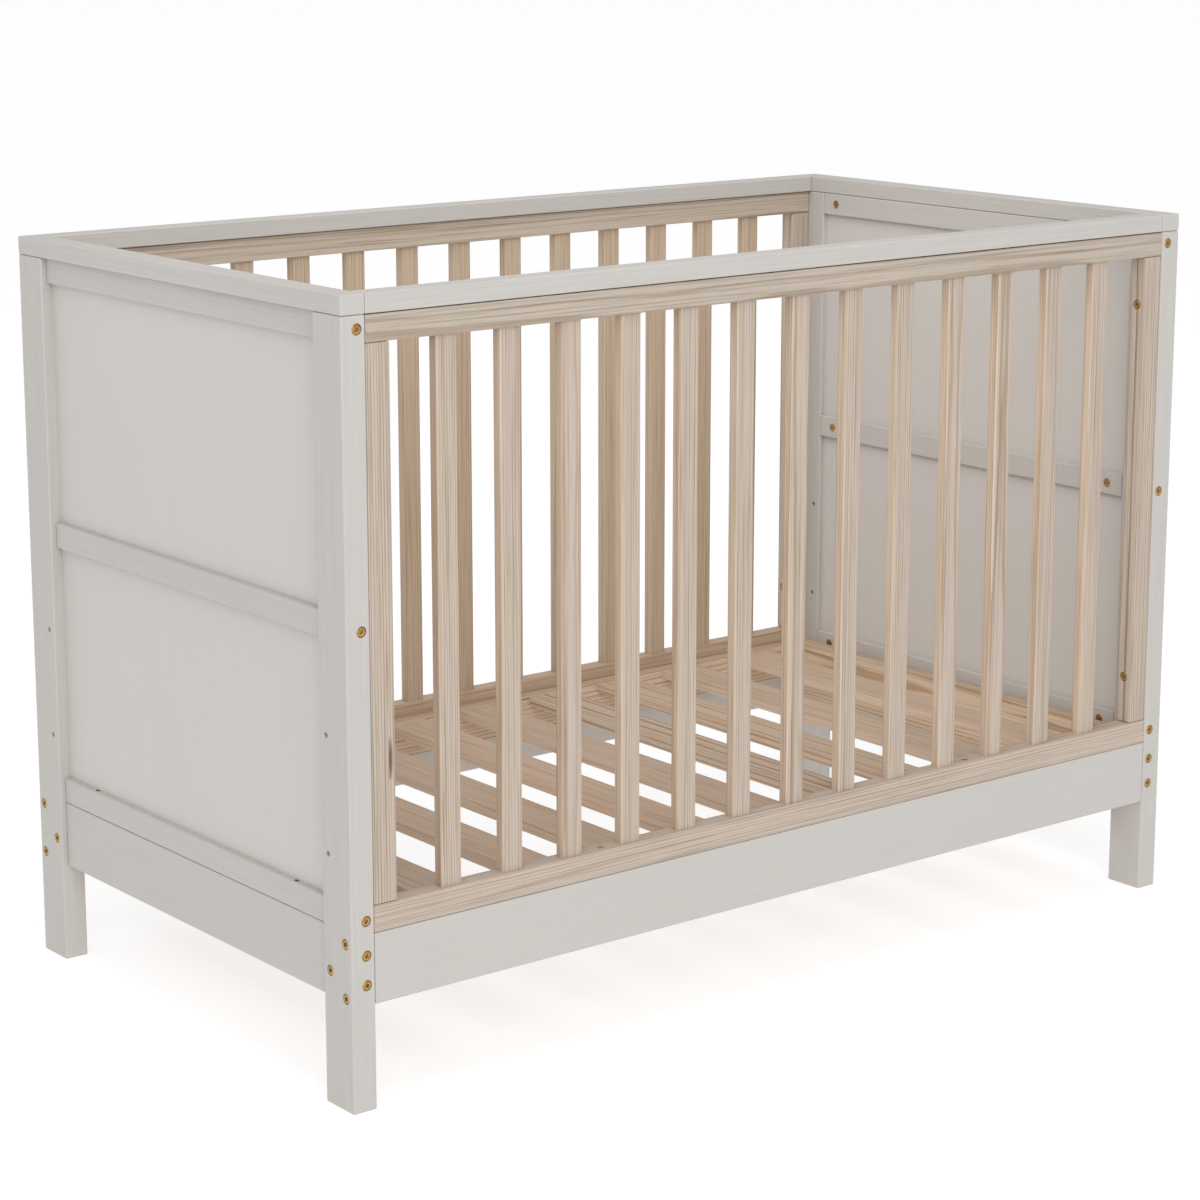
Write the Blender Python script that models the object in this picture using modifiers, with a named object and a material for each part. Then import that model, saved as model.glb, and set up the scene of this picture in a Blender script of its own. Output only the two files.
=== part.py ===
"""Baby crib: painted framed ends, slatted pine sides and a slatted base that bolts on at three heights.

The origin is on the floor at the centre of the footprint. X runs along the length, Y from the
front side to the back side and Z up. Sizes are in metres.
"""

import math

import bmesh
import bpy
from mathutils import Vector

# Overall size
LENGTH = 1.260
WIDTH = 0.680
HEIGHT = 0.880
FIT = 0.0003                 # gap between two pieces that touch

# Ends and posts
POST_X = 0.030               # post along the length
POST_Y = 0.053               # post along the width
CAP_T = 0.021                # thickness of the four caps
END_T = 0.023                # end rails and end aprons, flush with the posts inside the crib
RAIL_H = 0.030               # height of every rail
APRON_H = 0.080
APRON_Z = 0.1185             # floor to the underside of the aprons
MIDDLE_RAIL_Z = 0.513        # floor to the underside of the middle rails
PANEL_T = 0.008
GROOVE = 0.006               # how far the panels go into posts and rails

# Sides
SIDE_T = 0.023               # side rails, stiles and side aprons
SIDE_CAP_W = 0.028
CAP_SHADOW = 0.001           # open line between a side cap and the pine rail below it
STILE_W = 0.030
SLAT_COUNT = 13
SLAT_W = 0.027
SLAT_T = 0.014
SLAT_END_GAP = 0.061         # stile to the nearest slat

# Slatted base, at its lowest height
BASE_TOP = 0.212             # floor to the top of the base
BASE_RAIL_T = 0.020
BASE_SIDE_H = 0.048
BASE_END_H = 0.080
BASE_SIDE_CLEAR = 0.002      # base to the inner face of a side
BASE_END_CLEAR = 0.0005      # base to the inner face of an end
BASE_SLAT_COUNT = 9
BASE_SLAT_W = 0.060
BASE_SLAT_T = 0.012
BASE_SLAT_DROP = 0.001       # slats lie this far below the base rails' top
BASE_SLAT_LAP = 0.008        # slat end housed in a base side rail
BASE_END_GAP = 0.0685        # base end rail to the nearest slat
BASE_END_STEP = 1.147        # step to the outermost slat, in inner steps
HEIGHT_STEP = 0.130          # between two of the base's heights
HEIGHT_COUNT = 3

# Bolt and nut holes
BOLT_R = 0.0033
HEAD_R = 0.0063
HEAD_DEPTH = 0.003
BARREL_R = 0.006
BARREL_DEPTH = 0.016
BARREL_SETBACK = 0.0254      # rail end to the barrel nut's centre
END_BOLT_X = 0.0195          # outer face of an end to its bolts' axes
END_APRON_INSET = 0.0235     # edge of an end apron to its bolts
SIDE_APRON_INSET = 0.0095    # edge of a side apron to its bolts
STILE_BOLT_INSET = 0.060     # rail to a stile bolt
STILE_BOLT_BITE = 0.018      # stile bolt's hole in the post
BASE_BOLT_INSET = 0.012      # inner edge of a post to the base's bolts
BASE_BOLT_DROP = 0.060       # top of the base to its bolts
BASE_BOLT_BITE = 0.015
HOLE_SIDES = 12
OVERCUT = 0.002              # how far a cutter runs past the face it enters

# Eased edges
EASE = 0.0018
SLAT_EASE = 0.003
PANEL_EASE = 0.0006

# Levels and lengths that follow from the sizes above
POST_TOP = HEIGHT - CAP_T
BOTTOM_RAIL_Z = APRON_Z + APRON_H
BOTTOM_RAIL_TOP = BOTTOM_RAIL_Z + RAIL_H
TOP_RAIL_Z = POST_TOP - RAIL_H
END_RECESS = POST_X - END_T
PANEL_X = END_RECESS + (END_T - PANEL_T) / 2
BASE_X = POST_X + BASE_END_CLEAR
BASE_Y = SIDE_T + BASE_SIDE_CLEAR
BASE_BOLT_Y = POST_Y - BASE_BOLT_INSET

PAINT = ((0.60, 0.575, 0.545, 1.0), 0.55)
PINE = ((0.56, 0.44, 0.335, 1.0), 0.60)


def clear_scene():
    """Empties the scene of objects."""
    for obj in list(bpy.data.objects):
        bpy.data.objects.remove(obj, do_unlink=True)


def new_collection(name):
    """A collection linked to the scene."""
    group = bpy.data.collections.new(name)
    bpy.context.scene.collection.children.link(group)
    return group


def make_material(name, look):
    """A plain surface of one colour and roughness."""
    colour, roughness = look
    material = bpy.data.materials.new(name)
    material.use_nodes = True
    shader = material.node_tree.nodes["Principled BSDF"]
    shader.inputs["Base Color"].default_value = colour
    shader.inputs["Roughness"].default_value = roughness
    shader.inputs["Metallic"].default_value = 0.0
    material.diffuse_color = colour
    return material


def from_end(end, near, far):
    """X range of a span measured inwards from an end's outer face; end is -1 left, 1 right."""
    if end < 0:
        return (near - LENGTH / 2, far - LENGTH / 2)
    return (LENGTH / 2 - far, LENGTH / 2 - near)


def from_side(side, near, far):
    """Y range of a span measured inwards from a side's outer face; side is -1 front, 1 back."""
    if side < 0:
        return (near - WIDTH / 2, far - WIDTH / 2)
    return (WIDTH / 2 - far, WIDTH / 2 - near)


def along(near):
    """X range between the two ends, starting this far in from each outer face."""
    return (near - LENGTH / 2, LENGTH / 2 - near)


def across(near):
    """Y range between the two sides, starting this far in from each outer face."""
    return (near - WIDTH / 2, WIDTH / 2 - near)


def block(name, spans, group):
    """A rectangular solid over three ranges, with its origin at its centre."""
    low = Vector([span[0] for span in spans])
    high = Vector([span[1] for span in spans])
    mesh = bpy.data.meshes.new(name)
    shape = bmesh.new()
    bmesh.ops.create_cube(shape, size=1.0)
    bmesh.ops.scale(shape, vec=high - low, verts=shape.verts)
    shape.to_mesh(mesh)
    shape.free()
    obj = bpy.data.objects.new(name, mesh)
    obj.location = (low + high) / 2
    group.objects.link(obj)
    return obj


def ease(obj, width, segments):
    """Rounds the edges."""
    bevel = obj.modifiers.new("eased_edges", "BEVEL")
    bevel.width = width
    bevel.segments = segments
    bevel.limit_method = "ANGLE"


def board(name, xs, ys, zs, look, easing=EASE, segments=2):
    """A board of the crib with eased edges and its own surface."""
    obj = block(name, (xs, ys, zs), PARTS)
    ease(obj, easing, segments)
    obj.data.materials.append(make_material(name, look))
    return obj


def hide_helper(obj):
    """Marks a cutter or a joined piece as a guide."""
    obj.hide_render = True
    obj.display_type = "WIRE"


def combine(obj, other, operation):
    """Cuts the other solid from the object, or joins it on."""
    boolean = obj.modifiers.new(other.name, "BOOLEAN")
    boolean.operation = operation
    boolean.solver = "EXACT"
    boolean.object = other


def drill(obj, centre, axis, radius, length):
    """A round hole of this length about its centre, along the axis 0 X, 1 Y."""
    bpy.ops.mesh.primitive_cylinder_add(
        vertices=HOLE_SIDES,
        radius=radius,
        depth=length,
        location=centre,
        rotation=(math.pi / 2, 0, 0) if axis == 1 else (0, math.pi / 2, 0),
    )
    cutter = bpy.context.object
    cutter.name = f"{obj.name}_hole_{len(obj.modifiers)}"
    for group in list(cutter.users_collection):
        group.objects.unlink(cutter)
    CUTTERS.objects.link(cutter)
    hide_helper(cutter)
    combine(obj, cutter, "DIFFERENCE")


def drill_from(obj, mouth, axis, into, radius, depth):
    """A round hole from its mouth into the piece; into is -1 or 1 along the axis."""
    centre = Vector(mouth)
    centre[axis] += into * (depth - OVERCUT) / 2
    drill(obj, centre, axis, radius, depth + OVERCUT)


def carve(obj, spans):
    """Cuts a rectangular groove."""
    cutter = block(f"{obj.name}_groove_{len(obj.modifiers)}", spans, CUTTERS)
    hide_helper(cutter)
    combine(obj, cutter, "DIFFERENCE")


def panel_spans(end, zs, slack):
    """Ranges of an end panel that reaches into its grooves, or of the groove round it."""
    xs = from_end(end, PANEL_X - slack, PANEL_X + PANEL_T + slack)
    ys = across(POST_Y - GROOVE - slack)
    return (xs, ys, (zs[0] - GROOVE - slack, zs[1] + GROOVE + slack))


def end_rail_levels():
    """Underside of each rail of an end and the heights of its bolts."""
    return {
        "top_rail": (TOP_RAIL_Z, POST_TOP - FIT, [TOP_RAIL_Z + RAIL_H / 2]),
        "middle_rail": (MIDDLE_RAIL_Z, MIDDLE_RAIL_Z + RAIL_H, [MIDDLE_RAIL_Z + RAIL_H / 2]),
        "lower_rail": (BOTTOM_RAIL_Z, BOTTOM_RAIL_TOP, [BOTTOM_RAIL_Z + RAIL_H / 2]),
        "end_apron": (
            APRON_Z,
            BOTTOM_RAIL_Z - FIT,
            [APRON_Z + END_APRON_INSET, BOTTOM_RAIL_Z - END_APRON_INSET],
        ),
    }


def panel_levels():
    """Clear height of each panel between its rails."""
    return {
        "upper_panel": (MIDDLE_RAIL_Z + RAIL_H, TOP_RAIL_Z),
        "lower_panel": (BOTTOM_RAIL_TOP, MIDDLE_RAIL_Z),
    }


def stile_bolt_heights():
    """Heights of the bolts that hold a stile to its post."""
    return (BOTTOM_RAIL_TOP + STILE_BOLT_INSET, TOP_RAIL_Z - STILE_BOLT_INSET)


def side_apron_bolt_heights():
    """Heights of the bolts that hold a side apron to its post."""
    return (APRON_Z + SIDE_APRON_INSET, BOTTOM_RAIL_Z - SIDE_APRON_INSET)


def make_post(name, end, side):
    """A post with its grooves, its bolt holes and the row of holes for the base."""
    post = board(name, from_end(end, 0, POST_X), from_side(side, 0, POST_Y), (0, POST_TOP - FIT), PAINT)
    for zs in panel_levels().values():
        carve(post, panel_spans(end, zs, FIT))
    bolt_x = end * (LENGTH / 2 - END_BOLT_X)
    outer_y = side * WIDTH / 2
    for _, _, heights in end_rail_levels().values():
        for z in heights:
            drill_from(post, (bolt_x, outer_y, z), 1, -side, BOLT_R, POST_Y + OVERCUT)
            drill_from(post, (bolt_x, outer_y, z), 1, -side, HEAD_R, HEAD_DEPTH)
    outer_x = end * LENGTH / 2
    side_y = side * (WIDTH / 2 - SIDE_T / 2)
    for z in side_apron_bolt_heights():
        drill_from(post, (outer_x, side_y, z), 0, -end, BOLT_R, POST_X + OVERCUT)
        drill_from(post, (outer_x, side_y, z), 0, -end, HEAD_R, HEAD_DEPTH)
    base_y = side * (WIDTH / 2 - BASE_BOLT_Y)
    for step in range(HEIGHT_COUNT):
        z = BASE_TOP - BASE_BOLT_DROP + step * HEIGHT_STEP
        drill_from(post, (outer_x, base_y, z), 0, -end, BOLT_R, POST_X + OVERCUT)
    drill_from(post, (outer_x, base_y, BASE_TOP - BASE_BOLT_DROP), 0, -end, HEAD_R, HEAD_DEPTH)
    inner_x = end * (LENGTH / 2 - POST_X)
    for z in stile_bolt_heights():
        drill_from(post, (inner_x, side_y, z), 0, end, BOLT_R, STILE_BOLT_BITE)


def make_end_rail(name, end, level):
    """An end rail or end apron with its bolt and barrel nut holes."""
    low, high, heights = level
    rail = board(name, from_end(end, END_RECESS, POST_X), across(POST_Y + FIT), (low, high), PAINT)
    bolt_x = end * (LENGTH / 2 - END_BOLT_X)
    inner_x = end * (LENGTH / 2 - POST_X)
    for side in (-1, 1):
        rail_end = side * (WIDTH / 2 - POST_Y - FIT)
        nut_y = rail_end - side * BARREL_SETBACK
        for z in heights:
            drill_from(rail, (bolt_x, rail_end, z), 1, -side, BOLT_R, BARREL_SETBACK + BARREL_R * 2)
            drill_from(rail, (inner_x, nut_y, z), 0, end, BARREL_R, BARREL_DEPTH)
    return rail


def make_end(end, word):
    """One end of the crib: cap, posts, rails, panels and apron."""
    board(f"{word}_end_cap", from_end(end, 0, POST_X), across(0), (POST_TOP, HEIGHT), PAINT)
    make_post(f"{word}_front_post", end, -1)
    make_post(f"{word}_back_post", end, 1)
    rails = {}
    for kind, level in end_rail_levels().items():
        rails[kind] = make_end_rail(f"{word}_{kind}", end, level)
    grooved = {"upper_panel": ("top_rail", "middle_rail"), "lower_panel": ("middle_rail", "lower_rail")}
    for kind, zs in panel_levels().items():
        board(f"{word}_{kind}", *panel_spans(end, zs, 0), PAINT, PANEL_EASE, 1)
        xs, ys, groove_zs = panel_spans(end, zs, FIT)
        for rail in grooved[kind]:
            carve(rails[rail], (xs, (ys[0] - OVERCUT, ys[1] + OVERCUT), groove_zs))


def make_side_apron(name, side):
    """A side apron with its bolt and barrel nut holes."""
    apron = board(
        name, along(POST_X + FIT), from_side(side, 0, SIDE_T), (APRON_Z, BOTTOM_RAIL_Z - FIT), PAINT
    )
    centre_y = side * (WIDTH / 2 - SIDE_T / 2)
    inner_y = side * (WIDTH / 2 - SIDE_T)
    for end in (-1, 1):
        apron_end = end * (LENGTH / 2 - POST_X - FIT)
        nut_x = apron_end - end * BARREL_SETBACK
        for z in side_apron_bolt_heights():
            drill_from(apron, (apron_end, centre_y, z), 0, -end, BOLT_R, BARREL_SETBACK + BARREL_R * 2)
            drill_from(apron, (nut_x, inner_y, z), 1, side, BARREL_R, BARREL_DEPTH)


def make_stile(name, side, end):
    """A stile against its post, with two counterbored bolt holes in its inner edge."""
    stile = board(
        name,
        from_end(end, POST_X + FIT, POST_X + STILE_W),
        from_side(side, 0, SIDE_T),
        (BOTTOM_RAIL_TOP + FIT, TOP_RAIL_Z - FIT),
        PINE,
    )
    inner_edge = end * (LENGTH / 2 - POST_X - STILE_W)
    centre_y = side * (WIDTH / 2 - SIDE_T / 2)
    for z in stile_bolt_heights():
        drill_from(stile, (inner_edge, centre_y, z), 0, end, BOLT_R, STILE_W + OVERCUT)
        drill_from(stile, (inner_edge, centre_y, z), 0, end, HEAD_R, HEAD_DEPTH)


def make_slats(side, word):
    """The row of slats between the two stiles of a side."""
    first = -LENGTH / 2 + POST_X + STILE_W + SLAT_END_GAP + SLAT_W / 2
    pitch = -2 * first / (SLAT_COUNT - 1)
    inset = (SIDE_T - SLAT_T) / 2
    for number in range(SLAT_COUNT):
        x = first + number * pitch
        board(
            f"{word}_slat_{number + 1:02d}",
            (x - SLAT_W / 2, x + SLAT_W / 2),
            from_side(side, inset, inset + SLAT_T),
            (BOTTOM_RAIL_TOP + FIT, TOP_RAIL_Z - FIT),
            PINE,
            SLAT_EASE,
            1,
        )


def make_side(side, word):
    """One long side: cap, rails, stiles, slats and apron."""
    xs = along(POST_X + FIT)
    ys = from_side(side, 0, SIDE_T)
    board(f"{word}_side_cap", xs, from_side(side, 0, SIDE_CAP_W), (POST_TOP, HEIGHT), PAINT)
    board(f"{word}_top_rail", xs, ys, (TOP_RAIL_Z, POST_TOP - CAP_SHADOW), PINE)
    board(f"{word}_bottom_rail", xs, ys, (BOTTOM_RAIL_Z, BOTTOM_RAIL_TOP), PINE)
    make_side_apron(f"{word}_side_apron", side)
    make_stile(f"{word}_left_stile", side, -1)
    make_stile(f"{word}_right_stile", side, 1)
    make_slats(side, word)


def base_slat_centres():
    """X of each slat of the base, evenly spaced but for a longer step at each end."""
    inner_steps = (BASE_SLAT_COUNT - 1) / 2 - 1
    reach = LENGTH / 2 - BASE_X - BASE_RAIL_T - BASE_END_GAP - BASE_SLAT_W / 2
    pitch = reach / (inner_steps + BASE_END_STEP)
    inner = [pitch * (number - inner_steps) for number in range(BASE_SLAT_COUNT - 2)]
    return [-reach] + inner + [reach]


def make_base_deck(lift):
    """The two side rails of the base with the cross slats housed between them."""
    xs = along(BASE_X + BASE_RAIL_T + FIT)
    zs = (BASE_TOP - BASE_SIDE_H, BASE_TOP)
    deck = board("base_slat_deck", xs, from_side(-1, BASE_Y, BASE_Y + BASE_RAIL_T), zs, PINE, EASE, 1)
    others = [block("base_back_rail", (xs, from_side(1, BASE_Y, BASE_Y + BASE_RAIL_T), zs), CUTTERS)]
    slat_top = BASE_TOP - BASE_SLAT_DROP
    for number, x in enumerate(base_slat_centres()):
        spans = (
            (x - BASE_SLAT_W / 2, x + BASE_SLAT_W / 2),
            across(BASE_Y + BASE_RAIL_T - BASE_SLAT_LAP),
            (slat_top - BASE_SLAT_T, slat_top),
        )
        others.append(block(f"base_slat_{number + 1}", spans, CUTTERS))
    for other in others:
        ease(other, EASE, 1)
        hide_helper(other)
        combine(deck, other, "UNION")
    keep_in_place(deck, lift)


def make_base_end(name, end, lift):
    """A base end rail with the two holes that its bolts screw into."""
    rail = board(
        name,
        from_end(end, BASE_X, BASE_X + BASE_RAIL_T),
        across(BASE_Y),
        (BASE_TOP - BASE_END_H, BASE_TOP),
        PINE,
    )
    outer_x = end * (LENGTH / 2 - BASE_X)
    for side in (-1, 1):
        mouth = (outer_x, side * (WIDTH / 2 - BASE_BOLT_Y), BASE_TOP - BASE_BOLT_DROP)
        drill_from(rail, mouth, 0, -end, BOLT_R, BASE_BOLT_BITE)
    keep_in_place(rail, lift)


def keep_in_place(obj, parent):
    """Parents a piece without moving it."""
    obj.parent = parent
    obj.location = obj.location - parent.location


def make_base():
    """The slatted base, carried by an empty on the axis it is lifted along."""
    lift = bpy.data.objects.new("base_lift", None)
    lift.location = (0, 0, BASE_TOP)
    PARTS.objects.link(lift)
    make_base_deck(lift)
    make_base_end("base_left_end_rail", -1, lift)
    make_base_end("base_right_end_rail", 1, lift)


clear_scene()
PARTS = new_collection("baby_crib")
CUTTERS = new_collection("cutters")
make_end(-1, "left")
make_end(1, "right")
make_side(-1, "front")
make_side(1, "back")
make_base()
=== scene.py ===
"""The looks of a baby crib: painted framed ends, pine sides, a slatted base and its brass fittings."""

import math

import bmesh
import bpy
import numpy as np
from bpy.props import FloatProperty, FloatVectorProperty, IntProperty, PointerProperty
from mathutils import Euler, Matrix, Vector


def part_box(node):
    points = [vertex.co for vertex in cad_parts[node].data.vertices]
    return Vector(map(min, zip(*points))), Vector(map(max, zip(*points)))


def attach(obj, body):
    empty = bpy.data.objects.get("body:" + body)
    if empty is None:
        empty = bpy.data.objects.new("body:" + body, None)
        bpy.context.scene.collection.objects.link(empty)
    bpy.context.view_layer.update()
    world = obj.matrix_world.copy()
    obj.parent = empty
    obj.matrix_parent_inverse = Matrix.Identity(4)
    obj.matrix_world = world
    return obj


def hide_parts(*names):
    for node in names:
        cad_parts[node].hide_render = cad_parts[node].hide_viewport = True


bl_info = {
    "name": "Baby Crib",
    "version": (1, 0, 0),
    "blender": (4, 5, 0),
    "location": "3D View > Sidebar > Crib",
    "description": "Finishes a slatted baby crib with painted wood, pine and brass",
    "category": "Add Mesh",
}

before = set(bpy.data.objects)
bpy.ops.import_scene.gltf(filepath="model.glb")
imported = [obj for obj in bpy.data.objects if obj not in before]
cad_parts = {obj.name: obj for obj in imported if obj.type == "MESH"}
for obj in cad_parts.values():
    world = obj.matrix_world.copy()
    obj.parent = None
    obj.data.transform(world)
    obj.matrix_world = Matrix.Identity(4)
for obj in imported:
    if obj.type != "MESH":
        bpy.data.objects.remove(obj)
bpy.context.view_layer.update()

FRAME_BODY = "crib_frame"
BASE_BODY = "mattress_base"
ENDS = {"left": -1, "right": 1}
SIDES = {"front": -1, "back": 1}
LENGTH_AXIS, WIDTH_AXIS, HEIGHT_AXIS = 0, 1, 2

# How the boards meet
FIT = 0.0003                 # gap between two CAD nodes
SLAT_TENON = 0.006           # slat end inside a rail
PANEL_SWELL = 0.00028        # how far a panel fills its groove each way
PANEL_ROUND = 0.0006

# Boards of the base's slatted deck
BASE_RAIL_T = 0.020
BASE_SLAT_W = 0.060
BASE_SLAT_T = 0.012
BASE_SLAT_DROP = 0.001       # slats lie this far below the rails' top
BASE_SLAT_LAP = 0.008        # slat end inside a rail
BASE_SLAT_PITCH = 0.116      # between the seven inner slats
BASE_SLAT_REACH = 0.481      # centre to the two outer slats

# Places of the fittings, measured in from the edges of the wood
BOLT_INSET = 0.0195          # outer face of an end to its bolts
SIDE_BOLT_INSET = 0.0115     # outer face of a side to its bolts and screws
NUT_SETBACK = 0.0257         # post to the barrel nuts
STILE_BOLT_INSET = 0.060
END_APRON_INSET = 0.0235
SIDE_APRON_INSET = 0.0095
BASE_BOLT_INSET = 0.012
BASE_BOLT_DROP = 0.060       # top of the base to its bolts
SCREW_X = 0.286
SCREW_HOLE_Y = 0.217

# Fittings
LONG_BOLT, SHORT_BOLT, STILE_BOLT, BASE_BOLT = 0.083, 0.060, 0.046, 0.044
HEAD_HEIGHT = 0.0028
SOCKET_DEPTH = 0.0025
SCREW_LENGTH = 0.030
NUT_SINK = 0.0006            # below the wood
NUT_SLOT = 0.0009            # half the width of its slot
NUT_SLOT_DEPTH = 0.0016
NUT_CHAMFER = 0.0005
TURNED_SHARP = math.radians(38)
NUT_SHARP = math.radians(30)
SOFT_TURN = math.radians(50)

# Wood: how finely each noise varies along and across the grain, per metre
BEND_GRAIN = (1.7, 9.0, 9.0)
WOBBLE_GRAIN = (6.0, 60.0, 60.0)
FIBRE_GRAIN = (14.0, 1100.0, 1100.0)
STREAK_GRAIN = (4.0, 420.0, 420.0)
CLOUD_GRAIN = (3.0, 16.0, 16.0)
FIBRE_SHADE = (0.58, 0.52, 0.46)
PAINT_RING = 0.0031          # year rings under the paint
PAINT_HIGHLIGHT_WIDTH = 0.0028          # width of the painted highlight along the edges
# painted light: range in from the edges over which the front slats' narrow faces turn paler
SIDE_LIGHT_RANGE = (0.0030, 0.0004)

# Studio
KEY_PLACE, KEY_SIZE = (-3.6, -7.2, 4.8), 6.0
FILL_PLACE, FILL_SIZE = (-0.9, -0.9, 3.4), 1.6
LIGHT_TARGET = (0.0, 0.0, 0.4)
BEAM_PLACE, BEAM_TARGET = (-1.7, 0.1, 2.3), (0.63, -0.02, 0.45)
BEAM_ANGLE = math.radians(28)
BEAM_RADIUS = 0.3
FLOOR_RADII = (40.0, 8.0, 2.0)
FLOOR_SIDES = 96
CAMERA_PLACE = (-2.3716, -2.9645, 1.2970)
CAMERA_TILT, CAMERA_TURN = 0.20991, 0.66924
CAMERA_SHIFT = -0.05

# Tones that a board's colours are multiplied by
PLAIN_TONE = (1.0, 1.0, 1.0)
# painted shade: warmer tone for the back slats, standing in for the warm bounce light in their shade
SHADED_BACK_TONE = (1.08, 1.00, 0.88)
# painted light and shade: warmer, paler tones for the base's rails and slats, standing in for the warm
# bounce light in their shade
BASE_SHADE_TONE = (1.16, 1.04, 0.90)
BASE_SLAT_SHADE_TONE = (1.15, 1.07, 0.98)
TOP_TONES = {"front": (0.93, 0.955, 0.955), "back": (1.02, 1.02, 1.00)}
# painted shade: the back bottom rail is warmer, standing in for the warm bounce light in its shade
BOTTOM_TONES = {"front": (1.00, 1.00, 1.00), "back": (1.12, 1.02, 0.90)}
# painted light: paler tone on the narrow faces of the front slats, standing in for the light on them
SIDE_LIGHT_TONE = (1.23, 1.165, 1.09)

# What every length and every colour in the sidebar shares
LENGTH = {"unit": "LENGTH", "precision": 4}
COLOUR = {"size": 3, "min": 0, "max": 1, "subtype": "COLOR"}


class CribSizes(bpy.types.PropertyGroup):
    """Sizes of the eased edges and of the fittings."""

    board_round: FloatProperty(
        name="Board rounding", description="Radius along the edges of rails and caps",
        default=0.0014, min=0.0005, max=0.006, **LENGTH)
    slat_round: FloatProperty(
        name="Slat rounding", description="Radius along the edges of the side slats",
        default=0.0028, min=0.0005, max=0.0065, **LENGTH)
    base_round: FloatProperty(
        name="Base rounding", description="Radius along the edges of the base's boards",
        default=0.0018, min=0.0005, max=0.005, **LENGTH)
    round_steps: IntProperty(
        name="Rounding steps", description="Faces across a rounded edge",
        default=5, min=2, max=12)
    bolt_head: FloatProperty(
        name="Bolt head", description="Radius of a bolt's head",
        default=0.0059, min=0.003, max=0.0062, **LENGTH)
    bolt_shank: FloatProperty(
        name="Bolt shank", description="Radius of a bolt's shank",
        default=0.0030, min=0.002, max=0.0032, **LENGTH)
    hex_socket: FloatProperty(
        name="Hex socket", description="Half the width across the flats of a bolt's socket",
        default=0.0021, min=0.001, max=0.003, **LENGTH)
    nut_radius: FloatProperty(
        name="Barrel nut", description="Radius of a barrel nut",
        default=0.0058, min=0.003, max=0.0059, **LENGTH)
    nut_length: FloatProperty(
        name="Barrel nut length", description="Length of a barrel nut",
        default=0.0148, min=0.008, max=0.0152, **LENGTH)
    screw_head: FloatProperty(
        name="Screw head", description="Radius of a screw's head",
        default=0.0040, min=0.002, max=0.006, **LENGTH)


class CribColours(bpy.types.PropertyGroup):
    """Colours of the finishes."""

    paint: FloatVectorProperty(
        name="Paint", description="Warm grey-white paint",
        default=(0.508, 0.486, 0.460), **COLOUR)
    panel_paint: FloatVectorProperty(
        name="Panel paint", description="The same paint, paler on the smooth panels",
        default=(0.568, 0.541, 0.512), **COLOUR)
    early_wood: FloatVectorProperty(
        name="Early wood", description="Pale wood of a year ring's first half",
        default=(0.492, 0.424, 0.356), **COLOUR)
    late_wood: FloatVectorProperty(
        name="Late wood", description="Brown line that closes a year ring",
        default=(0.270, 0.175, 0.105), **COLOUR)
    pink_wood: FloatVectorProperty(
        name="Pink wood", description="Pinkish cast of some boards",
        default=(0.580, 0.430, 0.345), **COLOUR)
    knot: FloatVectorProperty(
        name="Knot", description="Heart of a knot",
        default=(0.130, 0.060, 0.035), **COLOUR)
    brass: FloatVectorProperty(
        name="Brass", description="Yellow plating of the fittings",
        default=(0.500, 0.315, 0.115), **COLOUR)
    # painted shadow: near-black colour of the cups that stand in for the shade deep in the screw holes
    shadow_gap: FloatVectorProperty(
        name="Open hole", description="Bare wood deep in a hole",
        default=(0.030, 0.018, 0.012), **COLOUR)
    floor: FloatVectorProperty(
        name="Floor", description="Pale studio floor",
        default=(0.500, 0.500, 0.500), **COLOUR)


class CribStudio(bpy.types.PropertyGroup):
    """The camera's lens and the brightness of the lights."""

    focal_length: FloatProperty(
        name="Focal length", description="Lens on a 36 mm sensor, in millimetres",
        default=93.92, min=35, max=200, subtype="DISTANCE_CAMERA")
    sky: FloatProperty(
        name="Sky", description="Strength of the even white surroundings",
        default=0.66, min=0, max=5)
    key_power: FloatProperty(
        name="Key light", description="Power of the soft light in front of the crib",
        default=310.0, min=0, max=3000, unit="POWER")
    floor_glow: FloatProperty(
        name="Floor glow", description="Light that the pale floor gives off by itself",
        default=0.64, min=0, max=2)
    fill_power: FloatProperty(
        name="Fill light", description="Power of the soft light above the crib",
        default=27.0, min=0, max=3000, unit="POWER")
    inner_power: FloatProperty(
        name="Inner light", description="Power of the soft beam over the left end",
        default=62.0, min=0, max=3000, unit="POWER")


# Finishes

class Wire:
    """An output of a node that can be added, multiplied and compared like a number."""

    def __init__(self, finish, socket):
        self.finish = finish
        self.socket = socket

    def join(self, operation, first, second):
        """A Math node on two values."""
        return self.finish.node("ShaderNodeMath", {"operation": operation}, {0: first, 1: second})

    def __add__(self, other):
        return self.join("ADD", self, other)

    def __radd__(self, other):
        return self.join("ADD", other, self)

    def __sub__(self, other):
        return self.join("SUBTRACT", self, other)

    def __rsub__(self, other):
        return self.join("SUBTRACT", other, self)

    def __mul__(self, other):
        return self.join("MULTIPLY", self, other)

    def __rmul__(self, other):
        return self.join("MULTIPLY", other, self)

    def __truediv__(self, other):
        return self.join("DIVIDE", self, other)


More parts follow.
